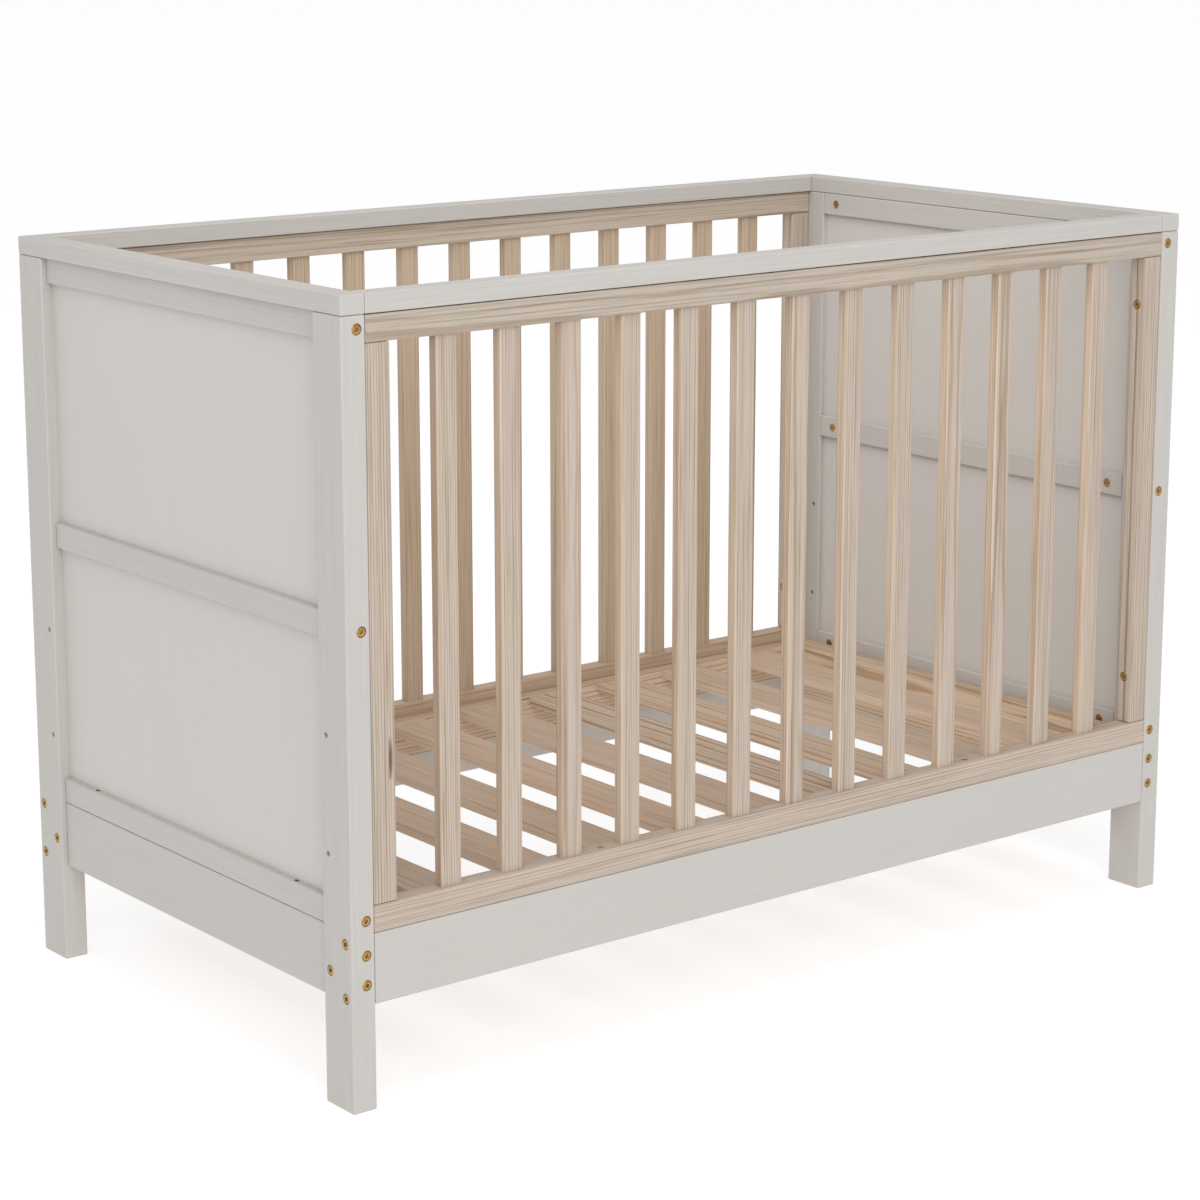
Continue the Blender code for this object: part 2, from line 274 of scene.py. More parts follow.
class Finish:
    """A material whose nodes are made one by one."""

    def __init__(self, name):
        self.material = bpy.data.materials.new(name)
        self.material.use_nodes = True
        self.tree = self.material.node_tree
        self.shader = self.tree.nodes["Principled BSDF"]

    def node(self, kind, settings, values, out=0):
        """Adds a node, sets it up, then fills or links its sockets."""
        made = self.tree.nodes.new(kind)
        for key, value in settings.items():
            setattr(made, key, value)
        for key, value in values.items():
            self.feed(made.inputs[key], value)
        return Wire(self, made.outputs[out])

    def feed(self, socket, value):
        """Links a wire to a socket, or sets its value."""
        if isinstance(value, Wire):
            self.tree.links.new(value.socket, socket)
        else:
            socket.default_value = value

    def place(self):
        """Object coordinates."""
        return self.node("ShaderNodeTexCoord", {}, {}, "Object")

    def stretched(self, point, stretch):
        """A point with each coordinate scaled by its own number."""
        return self.node("ShaderNodeVectorMath", {"operation": "MULTIPLY"}, {0: point, 1: stretch})

    def noise(self, point, stretch, detail=2.0, roughness=0.5):
        """Soft noise from 0 to 1, as fine along each axis as the stretch is large."""
        return self.node(
            "ShaderNodeTexNoise", {},
            {"Vector": self.stretched(point, stretch), "Scale": 1.0, "Detail": detail,
             "Roughness": roughness})

    def step(self, value, low, high):
        """Rises smoothly from 0 at the low value to 1 at the high one."""
        return self.node(
            "ShaderNodeMapRange", {"interpolation_type": "SMOOTHSTEP"},
            {0: value, 1: low, 2: high, 3: 0.0, 4: 1.0})

    def mix(self, share, first, second, how="MIX"):
        """Two colours mixed by a share."""
        return self.node(
            "ShaderNodeMix", {"data_type": "RGBA", "blend_type": how},
            {0: share, 6: opaque(first), 7: opaque(second)}, 2)

    def single(self, operation, value):
        """A Math node on one value."""
        return self.node("ShaderNodeMath", {"operation": operation}, {0: value})

    def surface(self, **sockets):
        """Sets or links the shader's sockets, named with underscores."""
        for key, value in sockets.items():
            self.feed(self.shader.inputs[key.replace("_", " ")], value)

    def raised(self, height, distance, strength):
        """Links a height to the surface's normal."""
        bump = self.node(
            "ShaderNodeBump", {}, {"Height": height, "Distance": distance, "Strength": strength})
        self.feed(self.shader.inputs["Normal"], bump)


def opaque(colour):
    """A colour with its alpha, or the wire that was given."""
    if isinstance(colour, Wire):
        return colour
    return (*colour, 1.0)


def grain_turn(axis):
    """Turn that lays the grain's axis along X."""
    return {
        LENGTH_AXIS: Euler((0, 0, 0)),
        WIDTH_AXIS: Euler((0, 0, -math.pi / 2)),
        HEIGHT_AXIS: Euler((0, math.pi / 2, 0)),
    }[axis]


def grain_point(finish, axis, heart):
    """Object coordinates seen from the heart of the tree, with the grain along X."""
    turn = grain_turn(axis)
    start = Vector(heart)
    start.rotate(turn)
    return finish.node(
        "ShaderNodeMapping", {"vector_type": "POINT"},
        {"Vector": finish.place(), "Location": -start, "Rotation": turn})


def edge_nearness(finish, low, high, width):
    """1 on the edges of a box and 0 further in than the width: from the middle of the three
    distances to its faces."""
    centre = (Vector(low) + Vector(high)) / 2
    half = (Vector(high) - Vector(low)) / 2
    offset = finish.node(
        "ShaderNodeVectorMath", {"operation": "SUBTRACT"}, {0: finish.place(), 1: centre})
    reach = finish.node("ShaderNodeVectorMath", {"operation": "ABSOLUTE"}, {0: offset})
    depth = finish.node("ShaderNodeVectorMath", {"operation": "SUBTRACT"}, {0: reach, 1: half})
    parts = finish.tree.nodes.new("ShaderNodeSeparateXYZ")
    finish.feed(parts.inputs[0], depth)
    x, y, z = (Wire(finish, output) for output in parts.outputs)
    pair_low = x.join("MINIMUM", x, y)
    pair_high = x.join("MAXIMUM", x, y)
    middle = x.join("MAXIMUM", pair_low, x.join("MINIMUM", pair_high, z))
    return finish.step(middle, -width, 0.0)


def pine(
        name, axis, heart, spacing, sway=0.004, pink=0.0, depth=1.0, knots=(), tone=PLAIN_TONE,
        lit_sides=None):
    """Pine: year rings are circles about the heart line, each pale at first and closed by a brown
    line, bent by slow noise along the grain, with fine fibres over them. The tone colours the
    whole board. Lit sides, given as a middle and half a width along X, paint light on the two
    narrow faces there, making them paler as if more brightly lit."""
    colours = bpy.context.scene.crib_colours
    early, closed, blushed = (
        tuple(c * t for c, t in zip(wood, tone))
        for wood in (colours.early_wood, colours.late_wood, colours.pink_wood))
    finish = Finish(name)
    point = grain_point(finish, axis, heart)
    across = finish.stretched(point, (0.0, 1.0, 1.0))
    radius = finish.node("ShaderNodeVectorMath", {"operation": "LENGTH"}, {0: across}, 1)
    slow = finish.noise(point, BEND_GRAIN)
    wobble = finish.noise(point, WOBBLE_GRAIN)
    rings = (radius + (slow - 0.5) * (2 * sway) + (wobble - 0.5) * (0.55 * spacing)) / spacing
    knot = None
    for centre, along, wide in knots:
        size = [wide, wide, wide]
        size[axis] = along
        away = finish.node(
            "ShaderNodeVectorMath", {"operation": "SUBTRACT"}, {0: finish.place(), 1: centre})
        scaled = finish.stretched(away, [1 / s for s in size])
        ring = finish.node("ShaderNodeVectorMath", {"operation": "LENGTH"}, {0: scaled}, 1)
        mask = 1.0 - finish.step(ring, 0.35, 1.0)
        rings = rings + mask * 1.6
        knot = mask if knot is None else knot.join("MAXIMUM", knot, mask)
    year = finish.single("FLOOR", rings)
    part = finish.single("FRACT", rings)
    chance = finish.node("ShaderNodeTexWhiteNoise", {"noise_dimensions": "1D"}, {"W": year})
    closing = finish.step(part, 0.56, 0.86) * (1.0 - finish.step(part, 0.91, 1.0))
    late = closing * (0.40 + chance * 0.60)
    fibre = finish.noise(point, FIBRE_GRAIN, roughness=0.6)
    streak = finish.noise(point, STREAK_GRAIN, roughness=0.6)
    cloud = finish.noise(point, CLOUD_GRAIN)
    colour = finish.mix(late * depth, early, closed)
    colour = finish.mix(cloud * (0.10 + pink), colour, blushed)
    darker = finish.mix(1.0, colour, FIBRE_SHADE, "MULTIPLY")
    grain = finish.step(streak, 0.46, 0.74) * 0.60 + finish.step(fibre, 0.42, 0.78) * 0.40
    colour = finish.mix(grain, colour, darker)
    # painted light: the two narrow faces are made paler, as if lit more brightly
    if lit_sides is not None:
        middle, half = lit_sides
        along_x = finish.node("ShaderNodeSeparateXYZ", {}, {0: finish.place()}, 0)
        reach = finish.single("ABSOLUTE", along_x - middle)
        pale = finish.mix(1.0, colour, SIDE_LIGHT_TONE, "MULTIPLY")
        starts, ends = (half - inset for inset in SIDE_LIGHT_RANGE)
        colour = finish.mix(finish.step(reach, starts, ends), colour, pale)
    if knot is not None:
        colour = finish.mix(knot * 0.85, colour, colours.knot)
    finish.surface(Base_Color=colour, Roughness=0.56 + fibre * 0.16 - late * 0.06)
    finish.surface(Specular_IOR_Level=0.38)
    finish.raised(late * 0.35 + (1.0 - fibre) * 0.65, 0.00022, 0.55)
    return finish.material


def painted(name, axis, heart, low, high, grain=1.0, colour=None):
    """Satin paint on wood: the grain under it shows as faint ridges and shades, and a painted
    highlight makes the coat a little paler along the edges."""
    coat = tuple(colour or bpy.context.scene.crib_colours.paint)
    finish = Finish(name)
    point = grain_point(finish, axis, heart)
    across = finish.stretched(point, (0.0, 1.0, 1.0))
    radius = finish.node("ShaderNodeVectorMath", {"operation": "LENGTH"}, {0: across}, 1)
    slow = finish.noise(point, BEND_GRAIN)
    part = finish.single("FRACT", (radius + slow * 0.004) / PAINT_RING)
    late = finish.step(part, 0.3, 0.85) * (1.0 - finish.step(part, 0.88, 1.0))
    fibre = finish.step(finish.noise(point, (9.0, 420.0, 420.0), 2.0, 0.6), 0.36, 0.68)
    streak = finish.noise(point, (3.0, 170.0, 170.0))
    cloud = finish.noise(point, (4.0, 9.0, 9.0), 3.0)
    # painted highlight: the coat is made paler near the edges of the board's box
    edge_highlight = edge_nearness(finish, low, high, PAINT_HIGHLIGHT_WIDTH)
    shade = late * (0.05 * grain) + streak * (0.12 * grain) + fibre * (0.30 * grain) + cloud * 0.10
    darker = tuple(c * k for c, k in zip(coat, (0.86, 0.85, 0.84)))
    paler = tuple(min(1.0, c * 1.10) for c in coat)
    tinted = finish.mix(edge_highlight * 0.18, finish.mix(shade, coat, darker), paler)
    finish.surface(Base_Color=tinted, Roughness=0.42 + fibre * 0.06 + cloud * 0.10)
    finish.surface(Specular_IOR_Level=0.42)
    height = (1.0 - late * 0.5) * (0.45 * grain) + (1.0 - fibre) * (0.45 * grain) + cloud * 0.35
    finish.raised(height, 0.00016, 0.5)
    return finish.material


def brass(name):
    """Yellow plated steel with turning marks, duller and darker in patches."""
    colours = bpy.context.scene.crib_colours
    finish = Finish(name)
    point = finish.place()
    patch = finish.noise(point, (420.0, 420.0, 420.0), 3.0, 0.6)
    fine = finish.noise(point, (2600.0, 2600.0, 2600.0))
    dull = tuple(c * k for c, k in zip(colours.brass, (0.62, 0.55, 0.45)))
    colour = finish.mix(finish.step(patch, 0.38, 0.72), colours.brass, dull)
    finish.surface(Base_Color=colour, Roughness=0.24 + patch * 0.22 + fine * 0.08)
    finish.surface(Metallic=1.0)
    finish.raised(fine, 0.00004, 0.4)
    return finish.material


def hole_shadow_finish(name):
    """Painted shadow of a hole: bare wood darkened as if unlit, rough and uneven."""
    colours = bpy.context.scene.crib_colours
    finish = Finish(name)
    rough = finish.noise(finish.place(), (900.0, 900.0, 900.0))
    lighter = tuple(c * 1.8 for c in colours.shadow_gap)
    finish.surface(
        Base_Color=finish.mix(rough, colours.shadow_gap, lighter), Roughness=0.8 + rough * 0.2)
    finish.surface(Specular_IOR_Level=0.1)
    return finish.material


# Shapes

def rows_and_columns(rows, columns):
    """Quads of a grid whose columns wrap round, as one array of corner numbers."""
    row = np.arange(rows - 1)[:, None]
    column = np.arange(columns)[None, :]
    after = (column + 1) % columns
    corners = (
        row * columns + column,
        row * columns + after,
        (row + 1) * columns + after,
        (row + 1) * columns + column,
    )
    return np.stack([np.broadcast_to(c, (rows - 1, columns)) for c in corners], -1).reshape(-1, 4)


def outward_volume(mesh):
    """Signed volume of a closed mesh, above 0 where its faces point outwards."""
    shape = bmesh.new()
    shape.from_mesh(mesh)
    volume = shape.calc_volume(signed=True)
    shape.free()
    return volume


def weld(mesh, distance=1e-6):
    """Merges doubled points, which closes poles and flat ends."""
    shape = bmesh.new()
    shape.from_mesh(mesh)
    bmesh.ops.remove_doubles(shape, verts=shape.verts, dist=distance)
    bmesh.ops.dissolve_degenerate(shape, edges=shape.edges, dist=distance)
    shape.to_mesh(mesh)
    shape.free()


def finish_piece(name, mesh, body, material):
    """Puts a mesh in the scene as a piece of a body, after checking that it faces outwards."""
    if outward_volume(mesh) <= 0:
        raise RuntimeError(f"{name} is inside out")
    mesh.materials.clear()
    mesh.materials.append(material)
    piece = bpy.data.objects.new(name, mesh)
    bpy.context.scene.collection.objects.link(piece)
    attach(piece, body)
    return piece


def rounded_board(name, low, high, radius, steps):
    """A board with rounded edges. The grid runs round the board and from end to end: a point is
    the nearest corner of the inner box plus the radius times a direction on a sphere, whose
    longitude turns through the four corners and whose latitude goes from -90 to 90 degrees."""
    low, high = np.array(low, float), np.array(high, float)
    centre = (low + high) / 2
    inner = (high - low) / 2 - radius
    axis = int(np.argmax(high - low))
    quarter = np.linspace(0, np.pi / 2, steps + 1)
    longitude = (np.arange(4)[:, None] * np.pi / 2 + quarter[None, :]).ravel()
    sign_u = np.repeat([1, -1, -1, 1], steps + 1)
    sign_v = np.repeat([1, 1, -1, -1], steps + 1)
    latitude = np.concatenate([-quarter[::-1], quarter])
    sign_w = np.repeat([-1, 1], steps + 1)
    second, third = (axis + 1) % 3, (axis + 2) % 3
    points = np.zeros((latitude.size, longitude.size, 3))
    flat = np.cos(latitude)[:, None]
    points[..., axis] = (sign_w * inner[axis] + radius * np.sin(latitude))[:, None]
    points[..., second] = sign_u * inner[second] + radius * flat * np.cos(longitude)
    points[..., third] = sign_v * inner[third] + radius * flat * np.sin(longitude)
    points += centre
    rows, columns = latitude.size, longitude.size
    quads = rows_and_columns(rows, columns).tolist()
    first_ring = list(range(columns))
    last_ring = [(rows - 1) * columns + c for c in first_ring]
    mesh = bpy.data.meshes.new(name)
    mesh.from_pydata(points.reshape(-1, 3), [], quads + [first_ring[::-1], last_ring])
    weld(mesh)
    mesh.shade_smooth()
    place = np.zeros(len(mesh.vertices) * 3, np.float32)
    mesh.vertices.foreach_get("co", place)
    offset = place.reshape(-1, 3) - centre
    normals = offset - np.clip(offset, -inner, inner)
    normals /= np.linalg.norm(normals, axis=1)[:, None]
    mesh.normals_split_custom_set_from_vertices(normals.tolist())
    return mesh


def softened_copy(node):
    """A CAD node's mesh with its doubled points merged and its eased edges shaded round. The
    normal at a corner of a face is the average over the faces round that point which turn less
    than 50 degrees away, each weighted by the square of the area that faces its way in the whole
    node, so flat faces stay flat and only the narrow faces between them bend the light."""
    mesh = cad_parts[node].data.copy()
    mesh.name = f"{node}_soft"
    weld(mesh, 1e-5)
    faces = len(mesh.polygons)
    point = np.zeros(len(mesh.loops), np.int32)
    corners = np.zeros(faces, np.int32)
    area = np.zeros(faces, np.float32)
    facing = np.zeros(faces * 3, np.float32)
    mesh.loops.foreach_get("vertex_index", point)
    mesh.polygons.foreach_get("loop_total", corners)
    mesh.polygons.foreach_get("area", area)
    mesh.polygons.foreach_get("normal", facing)
    facing = facing.reshape(-1, 3)
    way = np.unique(np.round(facing, 2) + 0.0, axis=0, return_inverse=True)[1].ravel()
    weight = np.bincount(way, area)[way] ** 2
    owner = np.repeat(np.arange(faces), corners)
    normal = facing[owner]
    near = (point[:, None] == point[None, :]) & (normal @ normal.T > math.cos(SOFT_TURN))
    blended = (near * weight[owner]) @ normal
    blended /= np.linalg.norm(blended, axis=1)[:, None]
    mesh.shade_smooth()
    mesh.normals_split_custom_set(blended.tolist())
    return mesh


def outward_frame(axis, facing):
    """Three directions as rows: two across a hole and the third out of it."""
    outward = np.zeros(3)
    outward[axis] = facing
    first = np.array([1.0, 0.0, 0.0] if axis == HEIGHT_AXIS else [0.0, 0.0, 1.0])
    second = np.cross(outward, first)
    return np.stack([first, second, outward])


def turned_copies(name, profile, six_sided, mouths, axis, facing, turns, segments=36):
    """Turned fittings at several mouths. The grid runs round the axis and along the profile: a
    point is its radius in the turning direction and its height along the axis. Rows marked as
    six-sided take the radius of a hexagon, the apothem over the cosine of the angle to the
    nearest flat."""
    angle = np.arange(segments) * 2 * np.pi / segments
    to_flat = (angle + np.pi / 6) % (np.pi / 3) - np.pi / 6
    radius = profile[:, 0][:, None] * np.where(six_sided[:, None], 1 / np.cos(to_flat), 1.0)
    height = np.broadcast_to(profile[:, 1][:, None], radius.shape)
    spin = np.array(turns)[:, None, None]
    local = np.stack([
        radius * np.cos(angle + spin),
        radius * np.sin(angle + spin),
        np.broadcast_to(height, (len(mouths), *radius.shape)),
    ], -1)
    points = local @ outward_frame(axis, facing) + np.array(mouths)[:, None, None, :]
    quads = rows_and_columns(len(profile), segments)
    shift = (np.arange(len(mouths)) * len(profile) * segments)[:, None, None]
    mesh = bpy.data.meshes.new(name)
    mesh.from_pydata(points.reshape(-1, 3), [], (quads[None] + shift).reshape(-1, 4))
    weld(mesh)
    mesh.shade_smooth()
    mesh.set_sharp_from_angle(angle=TURNED_SHARP)
    return mesh


def bolt_profile(sizes, length):
    """Radius and height of a socket bolt's rows, from the tip to the bottom of its socket, and
    which rows are six-sided."""
    head, shank, flat = sizes.bolt_head, sizes.bolt_shank, sizes.hex_socket
    rows = [
        (0.0, -length, 0),
        (shank * 0.8, -length, 0),
        (shank, -length + 0.0008, 0),
        (shank, -HEAD_HEIGHT, 0),
        (head - 0.0004, -HEAD_HEIGHT, 0),
        (head, -0.0024, 0),
        (head, -0.0011, 0),
        (head - 0.0003, -0.0007, 0),
        (head - 0.0009, -0.0004, 0),
        (head - 0.0022, -0.0001, 0),
        (flat * 1.38, 0.0000, 0),
        (flat * 1.08, -0.0001, 1),
        (flat, -0.0003, 1),
        (flat * 0.98, -0.0022, 1),
        (0.0, -SOCKET_DEPTH, 1),
    ]
    table = np.array(rows)
    return table[:, :2], table[:, 2] > 0


def screw_profile(head):
    """Radius and height of a countersunk screw's rows, from its tip up to a six-sided recess."""
    rows = [
        (0.0, -SCREW_LENGTH, 0),
        (head * 0.35, -0.026, 0),
        (head * 0.40, -head * 0.9, 0),
        (head * 0.96, -0.0003, 0),
        (head, -0.0001, 0),
        (head * 0.97, 0.0002, 0),
        (head * 0.60, 0.0005, 0),
        (head * 0.42, 0.0005, 1),
        (head * 0.38, -0.0014, 1),
        (0.0, -0.0018, 1),
    ]
    table = np.array(rows)
    return table[:, :2], table[:, 2] > 0


def screw_hole_profile(radius):
    """Radius and height of the rows of a shallow cup, coloured with painted shadow, that shows as an
    open hole.
    """
    rows = [
        (0.0, -0.004, 0),
        (radius, -0.004, 0),
        (radius, 0.00005, 0),
        (radius * 0.96, 0.00015, 0),
        (0.0, 0.00010, 0),
    ]
    table = np.array(rows)
    return table[:, :2], table[:, 2] > 0


def barrel_nuts(name, sizes, mouths, axis, facing, turns):
    """Barrel nuts with a driver's slot. The grid goes across the nut and round its outline: at
    each step across, the outline is a rectangle as wide as the circle is there, with chamfered
    corners, and its top is lower where the step lies in the slot."""
    radius, length = sizes.nut_radius, sizes.nut_length
    across = np.unique(np.concatenate([
        radius * np.sin(np.linspace(-np.pi / 2, np.pi / 2, 19)), [-NUT_SLOT, NUT_SLOT]]))
    across = np.sort(np.concatenate([across, [-NUT_SLOT - 1e-5, NUT_SLOT + 1e-5]]))
    half = np.sqrt(np.maximum(radius ** 2 - across ** 2, 0))
    cut = np.where(np.abs(across) <= NUT_SLOT + 1e-7, NUT_SLOT_DEPTH, 0.0)
    top = -NUT_SINK - cut
    rim = np.minimum(top, -NUT_SINK - NUT_CHAMFER)
    inset = np.maximum(half - NUT_CHAMFER, 0) * (cut == 0) + half * (cut > 0)
    base = np.full_like(half, -NUT_SINK - length)
    outline_y = np.stack([-half, half, half, inset, -inset, -half], 1)
    outline_z = np.stack([base, base, rim, top, top, rim], 1)
    outline_x = np.broadcast_to(across[:, None], outline_y.shape)
    turn = np.array(turns)[:, None, None]
    local = np.stack([
        outline_x * np.cos(turn) - outline_y * np.sin(turn),
        outline_x * np.sin(turn) + outline_y * np.cos(turn),
        np.broadcast_to(outline_z, (len(mouths), *outline_z.shape)),
    ], -1)
    points = local @ outward_frame(axis, facing) + np.array(mouths)[:, None, None, :]
    rows, columns = outline_y.shape
    quads = rows_and_columns(rows, columns)[:, ::-1]
    shift = (np.arange(len(mouths)) * rows * columns)[:, None, None]
    mesh = bpy.data.meshes.new(name)
    mesh.from_pydata(points.reshape(-1, 3), [], (quads[None] + shift).reshape(-1, 4))
    weld(mesh)
    if outward_volume(mesh) < 0:
        mesh.flip_normals()
    mesh.shade_smooth()
    mesh.set_sharp_from_angle(angle=NUT_SHARP)
    return mesh


# Levels that the fittings share, from the CAD nodes

def node_edge(node, axis, facing):
    """Coordinate of a CAD node's outermost face along an axis."""
    low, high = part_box(node)
    return (high if facing > 0 else low)[axis]


def middle_height(node):
    """Height of the middle of a CAD node."""
    low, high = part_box(node)
    return (low.z + high.z) / 2


def end_bolt_heights(word):
    """Heights of the bolts through the long faces of an end's posts."""
    low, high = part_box(f"{word}_end_apron")
    rails = [middle_height(f"{word}_{kind}_rail") for kind in ("middle", "lower")]
    aprons = [high.z + FIT - END_APRON_INSET, low.z + END_APRON_INSET]
    return [middle_height(f"{word}_top_rail") + FIT / 2] + rails + aprons


def side_apron_heights(word):
    """Heights of the bolts through a side apron's ends."""
    low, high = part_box(f"{word}_side_apron")
    return [high.z + FIT - SIDE_APRON_INSET, low.z + SIDE_APRON_INSET]


def stile_heights(word):
    """Heights of the bolts in a stile."""
    low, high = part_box(f"{word}_left_stile")
    return [low.z - FIT + STILE_BOLT_INSET, high.z + FIT - STILE_BOLT_INSET]


# Operators

def paint_nodes(nodes, axis, spread, grain, draws):
    """Softened and painted copies of CAD nodes, each cut from its own part of a tree."""
    for node in nodes:
        low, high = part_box(node)
        away = Vector([spread * (1 + draws.uniform()) * draws.choice([-1, 1]) for _ in range(3)])
        heart = (low + high) / 2 + away
        material = painted(f"paint_{node}", axis, heart, low, high, grain)
        piece = finish_piece(f"{node}_painted", softened_copy(node), FRAME_BODY, material)
        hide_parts(node)


class CRIB_OT_posts(bpy.types.Operator):
    """Paints the four posts"""

    bl_idname = "crib.posts"
    bl_label = "Paint Posts"

    def execute(self, context):
        nodes = [f"{end}_{side}_post" for end in ENDS for side in SIDES]
        paint_nodes(nodes, HEIGHT_AXIS, 0.11, 1.0, np.random.default_rng(11))
        return {"FINISHED"}


class CRIB_OT_end_rails(bpy.types.Operator):
    """Paints the rails and aprons of the ends and the aprons of the sides"""

    bl_idname = "crib.end_rails"
    bl_label = "Paint Rails and Aprons"

    def execute(self, context):
        draws = np.random.default_rng(12)
        rails = [f"{end}_{kind}_rail" for end in ENDS for kind in ("top", "middle", "lower")]
        paint_nodes(rails, WIDTH_AXIS, 0.10, 1.0, draws)
        aprons = [f"{end}_end_apron" for end in ENDS]
        paint_nodes(aprons, WIDTH_AXIS, 0.12, 0.6, draws)
        sides = [f"{side}_side_apron" for side in SIDES]
        paint_nodes(sides, LENGTH_AXIS, 0.12, 0.6, draws)
        return {"FINISHED"}


class CRIB_OT_panels(bpy.types.Operator):
    """Paints the panels of the ends"""

    bl_idname = "crib.panels"
    bl_label = "Paint Panels"

    def execute(self, context):
        draws = np.random.default_rng(13)
        for end in ENDS:
            for level in ("upper", "lower"):
                node = f"{end}_{level}_panel"
                low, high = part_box(node)
                away = Vector((draws.uniform(0.2, 0.4), draws.uniform(-0.2, 0.2), 0))
                heart = (low + high) / 2 + away
                coat = context.scene.crib_colours.panel_paint
                material = painted(f"paint_{node}", HEIGHT_AXIS, heart, low, high, 0.3, coat)
                swell = Vector((PANEL_SWELL, 0, 0))
                mesh = rounded_board(f"{node}_board", low - swell, high + swell, PANEL_ROUND, 2)
                piece = finish_piece(f"{node}_painted", mesh, FRAME_BODY, material)
                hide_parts(node)
        return {"FINISHED"}


class CRIB_OT_caps(bpy.types.Operator):
    """Lays the painted caps along the ends and sides"""

    bl_idname = "crib.caps"
    bl_label = "Caps"

    def execute(self, context):
        sizes = context.scene.crib_sizes
        draws = np.random.default_rng(14)
        rows = [(f"{end}_end_cap", WIDTH_AXIS) for end in ENDS]
        rows += [(f"{side}_side_cap", LENGTH_AXIS) for side in SIDES]
        for node, axis in rows:
            low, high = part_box(node)
            heart = (low + high) / 2 + Vector([0.09 + draws.uniform() * 0.05 for _ in range(3)])
            material = painted(f"paint_{node}", axis, heart, low, high, 1.2)
            mesh = rounded_board(f"{node}_board", low, high, sizes.board_round, sizes.round_steps)
            piece = finish_piece(f"{node}_painted", mesh, FRAME_BODY, material)
            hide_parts(node)
        return {"FINISHED"}


class CRIB_OT_side_rails(bpy.types.Operator):
    """Makes the pine rails above and below the slats"""

    bl_idname = "crib.side_rails"
    bl_label = "Side Rails"

    def execute(self, context):
        sizes = context.scene.crib_sizes
        for side, facing in SIDES.items():
            for kind, away, lift, spacing, sway, pink, tone in (
                ("top", 0.032, -0.016, 0.0050, 0.0034, 0.03, TOP_TONES[side]),
                ("bottom", 0.020, 0.045, 0.0030, 0.0022, 0.20, BOTTOM_TONES[side]),
            ):
                node = f"{side}_{kind}_rail"
                low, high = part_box(node)
                heart = (low + high) / 2 + Vector((0.3 * facing, -away * facing, lift))
                material = pine(
                    f"pine_{node}", LENGTH_AXIS, heart, spacing, sway, pink, 0.65, tone=tone)
                mesh = rounded_board(f"{node}_board", low, high, sizes.board_round, sizes.round_steps)
                piece = finish_piece(f"{node}_pine", mesh, FRAME_BODY, material)
                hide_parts(node)
        return {"FINISHED"}


class CRIB_OT_stiles(bpy.types.Operator):
    """Makes the pine stiles beside the posts"""

    bl_idname = "crib.stiles"
    bl_label = "Stiles"

    def execute(self, context):
        draws = np.random.default_rng(16)
        for side, facing in SIDES.items():
            for end in ENDS:
                node = f"{side}_{end}_stile"
                low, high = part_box(node)
                away = Vector((0.07 + draws.uniform() * 0.04, 0.030 * facing, draws.uniform(-1, 1)))
                heart = (low + high) / 2 + away
                knots = []
                if side == "front" and end == "left":
                    knots = [(Vector((high.x - 0.0065, low.y, 0.386)), 0.030, 0.0036)]
                material = pine(f"pine_{node}", HEIGHT_AXIS, heart, 0.0036, 0.0026, 0.05, 1.0, knots)
                mesh = softened_copy(node)
                piece = finish_piece(f"{node}_pine", mesh, FRAME_BODY, material)
                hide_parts(node)
        return {"FINISHED"}


class CRIB_OT_slats(bpy.types.Operator):
    """Makes the pine slats of both sides"""

    bl_idname = "crib.slats"
    bl_label = "Side Slats"

    def execute(self, context):
        sizes = context.scene.crib_sizes
        draws = np.random.default_rng(17)
        slats = sorted(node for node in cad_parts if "_slat_" in node and "deck" not in node)
        for node in slats:
            low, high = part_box(node)
            centre = (low + high) / 2
            straight = draws.uniform() < 0.85
            turn = draws.uniform(-0.35, 0.35) + (0 if straight else math.pi / 2)
            away = draws.uniform(0.05, 0.12) if straight else draws.uniform(0.014, 0.030)
            heart = centre + Vector(
                (math.cos(turn) * away, math.sin(turn) * away, draws.uniform(-2, 2)))
            spacing = draws.uniform(0.0030, 0.0042) if straight else draws.uniform(0.0034, 0.0046)
            sway = 0.0022 if straight else 0.0032
            behind = node.startswith("back")
            # painted light: only the front slats get paler narrow faces
            lit_sides = None if behind else (centre.x, (high.x - low.x) / 2)
            # painted shade: the back slats take a warmer tone for the warm light in their shade
            material = pine(
                f"pine_{node}", HEIGHT_AXIS, heart, spacing, sway, draws.uniform(0.0, 0.20),
                draws.uniform(0.55, 0.85), tone=SHADED_BACK_TONE if behind else PLAIN_TONE, lit_sides=lit_sides)
            tenon = Vector((0, 0, SLAT_TENON))
            mesh = rounded_board(
                f"{node}_board", low - tenon, high + tenon, sizes.slat_round, sizes.round_steps)
            piece = finish_piece(f"{node}_pine", mesh, FRAME_BODY, material)
            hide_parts(node)
        return {"FINISHED"}


